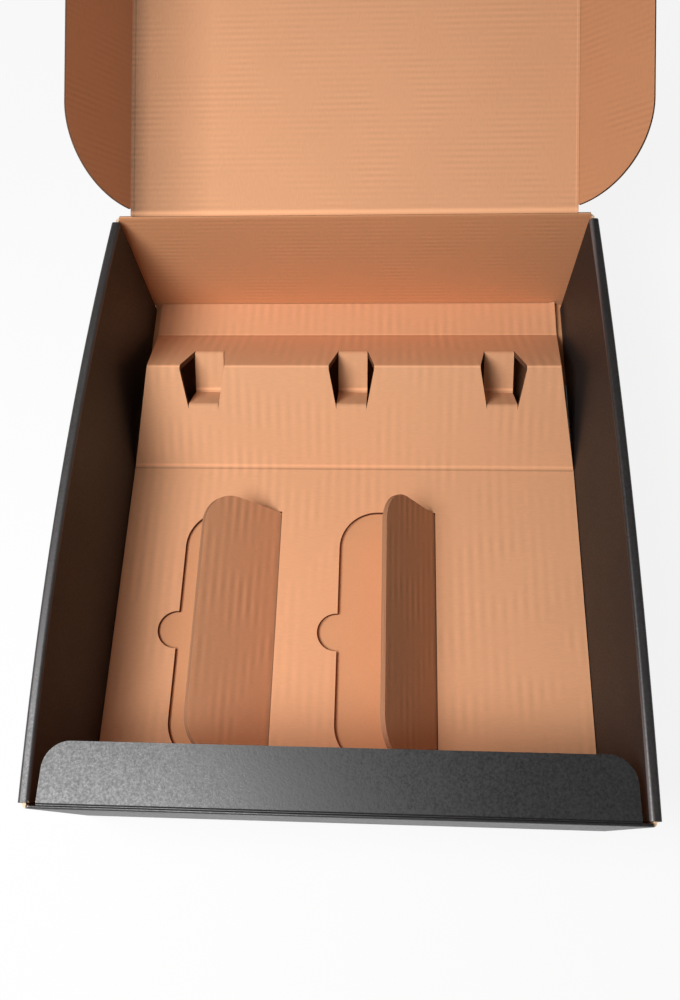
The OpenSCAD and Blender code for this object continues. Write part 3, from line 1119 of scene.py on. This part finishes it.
# Painted shade beside the left ear, two fine lines beside the ear creases, and a painted highlight along the
# hinge.
lid_painted_shade_highlight_and_creases = [
    ("X", -lid_half, 46 * mm, -0.52),
    ("X", -lid_half, 11 * mm, -0.24),
    ("X", -lid_half + 2.6 * mm, 0.5 * mm, -0.12),
    ("X", lid_half - 2.1 * mm, 0.5 * mm, 0.2),
    ("Y", lid_hinge.y + 0.6 * mm, 1.6 * mm, 0.4),
]
kraft_lid = lid_kraft("kraft_lid", lid_tilt, lines=lid_painted_shade_highlight_and_creases)
lid = flat_sheet("lid_board", -lid_edge, lid_edge, 0, lid_len - short_of_crease)
make_flap(lid, (kraft_lid, black_print, cut_edge))
settle(lid, lid_hinge, (lid_tilt, 0, 0))
finish_piece(lid, "lid", "kraft_inner", "lid_panel")

# %% [markdown]
# ### Ears
# An ear has a rear corner so round that it takes in almost its whole width. A disc of that radius, trimmed
# on two sides, is that corner, and the ear's far edge is then pulled out from it. The front corner is a
# plain rounded one. The left ear is the right one mirrored, which turns its faces inside out, so they are
# turned back. The ears lean away from the lamp, so their kraft and cut edges are painted darker than the
# lid's, as painted shade.

# %% Ears
ear_w = 41 * mm
ear_r = 46 * mm
ear_rear_gap = 3.5 * mm
ear_front_r = 24 * mm
disc_points = 144
ear_end = lid_len - 12 * mm
ear_mid = ear_rear_gap + ear_r
ear_angles = {"left": radians(53), "right": radians(40)}
# Painted shade: both ears' kraft is darker than the lid's, the left ear's most.
ear_painted_shade_colours = {"left": (0.43, 0.165, 0.072), "right": (0.60, 0.27, 0.13)}

for side, angle in ear_angles.items():
    middle = (ear_w - ear_r, ear_mid, 0)
    ear = new_shape(
        f"ear_{side}_board", bpy.ops.mesh.primitive_circle_add, middle,
        vertices=disc_points, radius=ear_r, fill_type="NGON",
    )
    edit(ear)
    for place, normal in (((0, 0, 0), (-1, 0, 0)), ((0, ear_mid, 0), (0, 1, 0))):
        bpy.ops.mesh.select_all(action="SELECT")
        bpy.ops.mesh.bisect(plane_co=place, plane_no=normal, clear_outer=True)
    pick("EDGE", lambda p: p.y > ear_mid - near)
    pull_along([(0, ear_mid, 0), (0, ear_end, 0)])
    round_corners(ear, lambda p: p.y > ear_end - near and p.x > ear_w - near, ear_front_r)
    ear_kraft = lid_kraft(f"kraft_ear_{side}", lid_tilt, ear_painted_shade_colours[side])
    make_flap(ear, (ear_kraft, black_print, cut_shade), axis=0)
    settle(ear, (lid_half, 0, 0), (0, -angle, 0))
    if side == "left":
        ear.scale = (-1, 1, 1)
        settle(ear, (0, 0, 0), (0, 0, 0))
        edit(ear)
        bpy.ops.mesh.select_all(action="SELECT")
        bpy.ops.mesh.normals_make_consistent(inside=False)
    settle(ear, lid_hinge, (lid_tilt, 0, 0))
    finish_piece(ear, f"ear_{side}", "kraft_inner", f"lid_ear_{side}")

# %% [markdown]
# ### Tuck flap and front flap
# Both are plain flaps with two rounded corners. The tuck flap narrows a little towards its free edge, so
# that it slides in easily. The photograph cuts it off, and it is finished as such boxes have it. The front
# flap shows its black side upwards, so its sheet faces down and its whole root is black.

# %% Tuck flap and front flap
tuck_len = 50 * mm
tuck_draw = 3 * mm
tuck_r = 22 * mm
tuck_angle = radians(60)
lip_len = 25.4 * mm
lip_r = 11.5 * mm
flap_corner_steps = 12

tuck_edge = lid_half - board / 2 - crease_gap
tuck = flat_sheet("tuck_board", -tuck_edge, tuck_edge, 0, tuck_len)
edit(tuck)
pick("VERT", lambda p: p.y > tuck_len - near)
bpy.ops.transform.resize(value=((tuck_edge - tuck_draw) / tuck_edge, 1, 1), center_override=(0, 0, 0))
round_corners(tuck, lambda p: p.y > tuck_len - near, tuck_r, flap_corner_steps)
kraft_tuck = lid_kraft("kraft_tuck", lid_tilt + tuck_angle)
make_flap(tuck, (kraft_tuck, black_print, cut_edge))
settle(tuck, tuck_hinge, (lid_tilt + tuck_angle, 0, 0))
finish_piece(tuck, "tuck_flap", "kraft_inner", "lid_tuck_flap")

lip = flat_sheet("front_flap_board", -lip_half, lip_half, 0, lip_len)
round_corners(lip, lambda p: p.y > lip_len - near, lip_r, flap_corner_steps)
make_flap(lip, (kraft_wall, black_print, cut_edge), up=-1, root_finishes=(black_side, black_side))
settle(lip, lip_hinge, (0, 0, 0))
finish_piece(lip, "front_flap", "black_board", "front_flap")
note_size()

# %% [markdown]
# ## Floor, world, lamp and camera
# The box stands on a plain pale floor in front of a white background. The white comes from what the camera
# sees and not from more light on the box. So the floor is part matt, which keeps the box's shadow, and part
# white for the camera, and it turns wholly white two metres away, where it meets the background.

# %% Floor
floor_pale = (0.86, 0.86, 0.86)
floor_share = 0.86
floor_half = 4.0
white_from = 2.0
plain_white = {"Color": (1, 1, 1, 1), "Strength": 1.0}


def seen_by(tree, *rays):
    """1 for the named kinds of ray, and 0 for all others."""
    path = add(tree, "ShaderNodeLightPath").outputs
    seen = path[rays[0]]
    for ray in rays[1:]:
        seen = math(tree, "MAXIMUM", seen, path[ray])
    return seen


def camera_white(name, base, share, reach):
    """A matt surface that the camera, mirrors and glass see partly as white, and beyond the reach wholly."""
    made, tree = new_material(name)
    matt = add(tree, "ShaderNodeBsdfDiffuse", {"Color": (*base, 1)})
    white = add(tree, "ShaderNodeEmission", plain_white)
    place = add(tree, "ShaderNodeTexCoord").outputs["Object"]
    away = add(tree, "ShaderNodeVectorMath", {0: place}, operation="LENGTH").outputs["Value"]
    rise = math(tree, "MULTIPLY", away, (1 - share) / reach)
    share_here = math(tree, "ADD", rise, share, clamp=True)
    seen = seen_by(tree, "Is Camera Ray", "Is Glossy Ray", "Is Transmission Ray")
    mixed = {"Fac": math(tree, "MULTIPLY", seen, share_here), 1: matt.outputs[0], 2: white.outputs[0]}
    blend = add(tree, "ShaderNodeMixShader", mixed)
    add(tree, "ShaderNodeOutputMaterial", {"Surface": blend.outputs[0]})
    return made


floor = flat_sheet("floor", -floor_half, floor_half, -floor_half, floor_half)
floor.data.materials.append(camera_white("pale_floor", floor_pale, floor_share, white_from))
print("floor", floor.dimensions)

# %% [markdown]
# ### World
# A room sends a little warm light from all sides into the shaded faces. The camera sees plain white instead.

# %% World
room_light = {"Color": (1.0, 0.93, 0.87, 1), "Strength": 0.12}

world = bpy.data.worlds.new("studio")
bpy.context.scene.world = world
world.use_nodes = True
sky = world.node_tree
sky.nodes.clear()
room = add(sky, "ShaderNodeBackground", room_light)
backdrop = add(sky, "ShaderNodeBackground", plain_white)
seen = seen_by(sky, "Is Camera Ray", "Is Transmission Ray")
blend = add(sky, "ShaderNodeMixShader", {"Fac": seen, 1: room.outputs[0], 2: backdrop.outputs[0]})
add(sky, "ShaderNodeOutputWorld", {"Surface": blend.outputs[0]})
print("world", world.name, "with", len(sky.nodes), "nodes")

# %% [markdown]
# ### Lamp
# One large soft lamp up on the left, in front of the box, does most of the work. It greys the left end of
# the front flap and leaves the dividers' right faces dark, as in the photograph. A sun casts hard shadows.

# %% Lamp
lamp_place = Vector((-0.29, -0.20, 0.62))
lamp_aim = Vector((0, 0, 0.05))
lamp_power = 4.8
lamp_width = 0.40
lamp_depth = 0.26

deselect()
bpy.ops.object.light_add(type="AREA", location=lamp_place)
lamp = bpy.context.object
lamp.name = "key"
lamp.data.shape = "RECTANGLE"
lamp.data.size = lamp_width
lamp.data.size_y = lamp_depth
lamp.data.energy = lamp_power
lamp.rotation_euler = (lamp_aim - lamp_place).to_track_quat("-Z", "Y").to_euler()
lamp.visible_camera = False
print("lamp", round((lamp_aim - lamp_place).length, 2), "m from the box")

# %% [markdown]
# ### Camera
# The photograph was taken from above the front wall, looking down steeply and a little turned. Its position
# and angles were fitted to the box's corners, so that the render lies over the photograph.

# %% Camera
camera_place = Vector((20.9, -166.7, 458.8)) * mm
yaw, pitch, roll = radians(-8.28), radians(67.59), radians(-7.11)
lens = 45.12

bpy.ops.object.camera_add(location=camera_place)
camera = bpy.context.object
bpy.context.scene.camera = camera
camera.data.sensor_fit = "HORIZONTAL"
camera.data.sensor_width = 36
camera.data.lens = lens
camera.data.clip_start = 0.01
forward = Vector((sin(yaw) * cos(pitch), cos(yaw) * cos(pitch), -sin(pitch)))
right = Vector((cos(yaw), -sin(yaw), 0))
up = right.cross(forward)
image_right = right * cos(roll) + up * sin(roll)
image_up = -right * sin(roll) + up * cos(roll)
axes = Matrix((image_right, image_up, -forward)).transposed()
camera.rotation_euler = axes.to_euler()
print("camera looks along", forward)

# %% [markdown]
# ## Colours as written
# The Standard view shows a colour as it is written, where a film look would change it. The last call updates
# the scene.

# %% Finish
bpy.context.scene.view_settings.view_transform = "Standard"
note_size()
